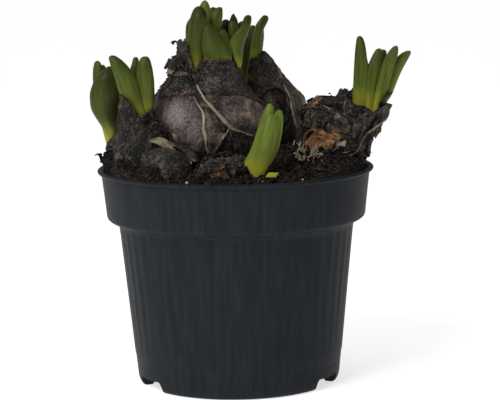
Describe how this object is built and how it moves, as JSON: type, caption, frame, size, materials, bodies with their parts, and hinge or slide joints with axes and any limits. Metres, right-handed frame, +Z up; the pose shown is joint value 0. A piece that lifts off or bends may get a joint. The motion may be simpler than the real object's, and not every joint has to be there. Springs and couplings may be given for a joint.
{
  "type": "potted hyacinth plant",
  "caption": "Round fluted nursery pot filled with compost, with papery hyacinth bulbs standing in it and short tufts of blunt green leaves growing from their necks.",
  "frame": {"origin": "middle of the bounding box at the pot's underside", "axes": "+Z up, -Y towards the front of the plant, +X to its right; the pot's axis is parallel to Z, a little to the left of the origin"},
  "size_m": [0.1376, 0.12, 0.1661],
  "materials": {
    "pot_plastic": "dark green-grey moulded plastic, satin",
    "compost": "damp dark peat with fibres",
    "bulb_tunic": "dry papery mauve-brown tunic over fleshy scales",
    "leaf_green": "thick fleshy leaf, waxy satin",
    "flower_bud": "dark purple packed flower buds"
  },
  "bodies": {
    "root": {"pot": "pot_plastic", "soil": "compost", "bulb_centre": "bulb_tunic", "bulb_back": "bulb_tunic", "bulb_left": "bulb_tunic", "bulb_right": "bulb_tunic", "bulb_front": "bulb_tunic", "leaves_centre": "leaf_green", "leaves_back": "leaf_green", "leaf_side": "leaf_green", "leaves_left_outer": "leaf_green", "leaves_left_inner": "leaf_green", "leaves_right": "leaf_green", "leaves_front": "leaf_green", "flower_bud": "flower_bud"}
  },
  "joints": []
}
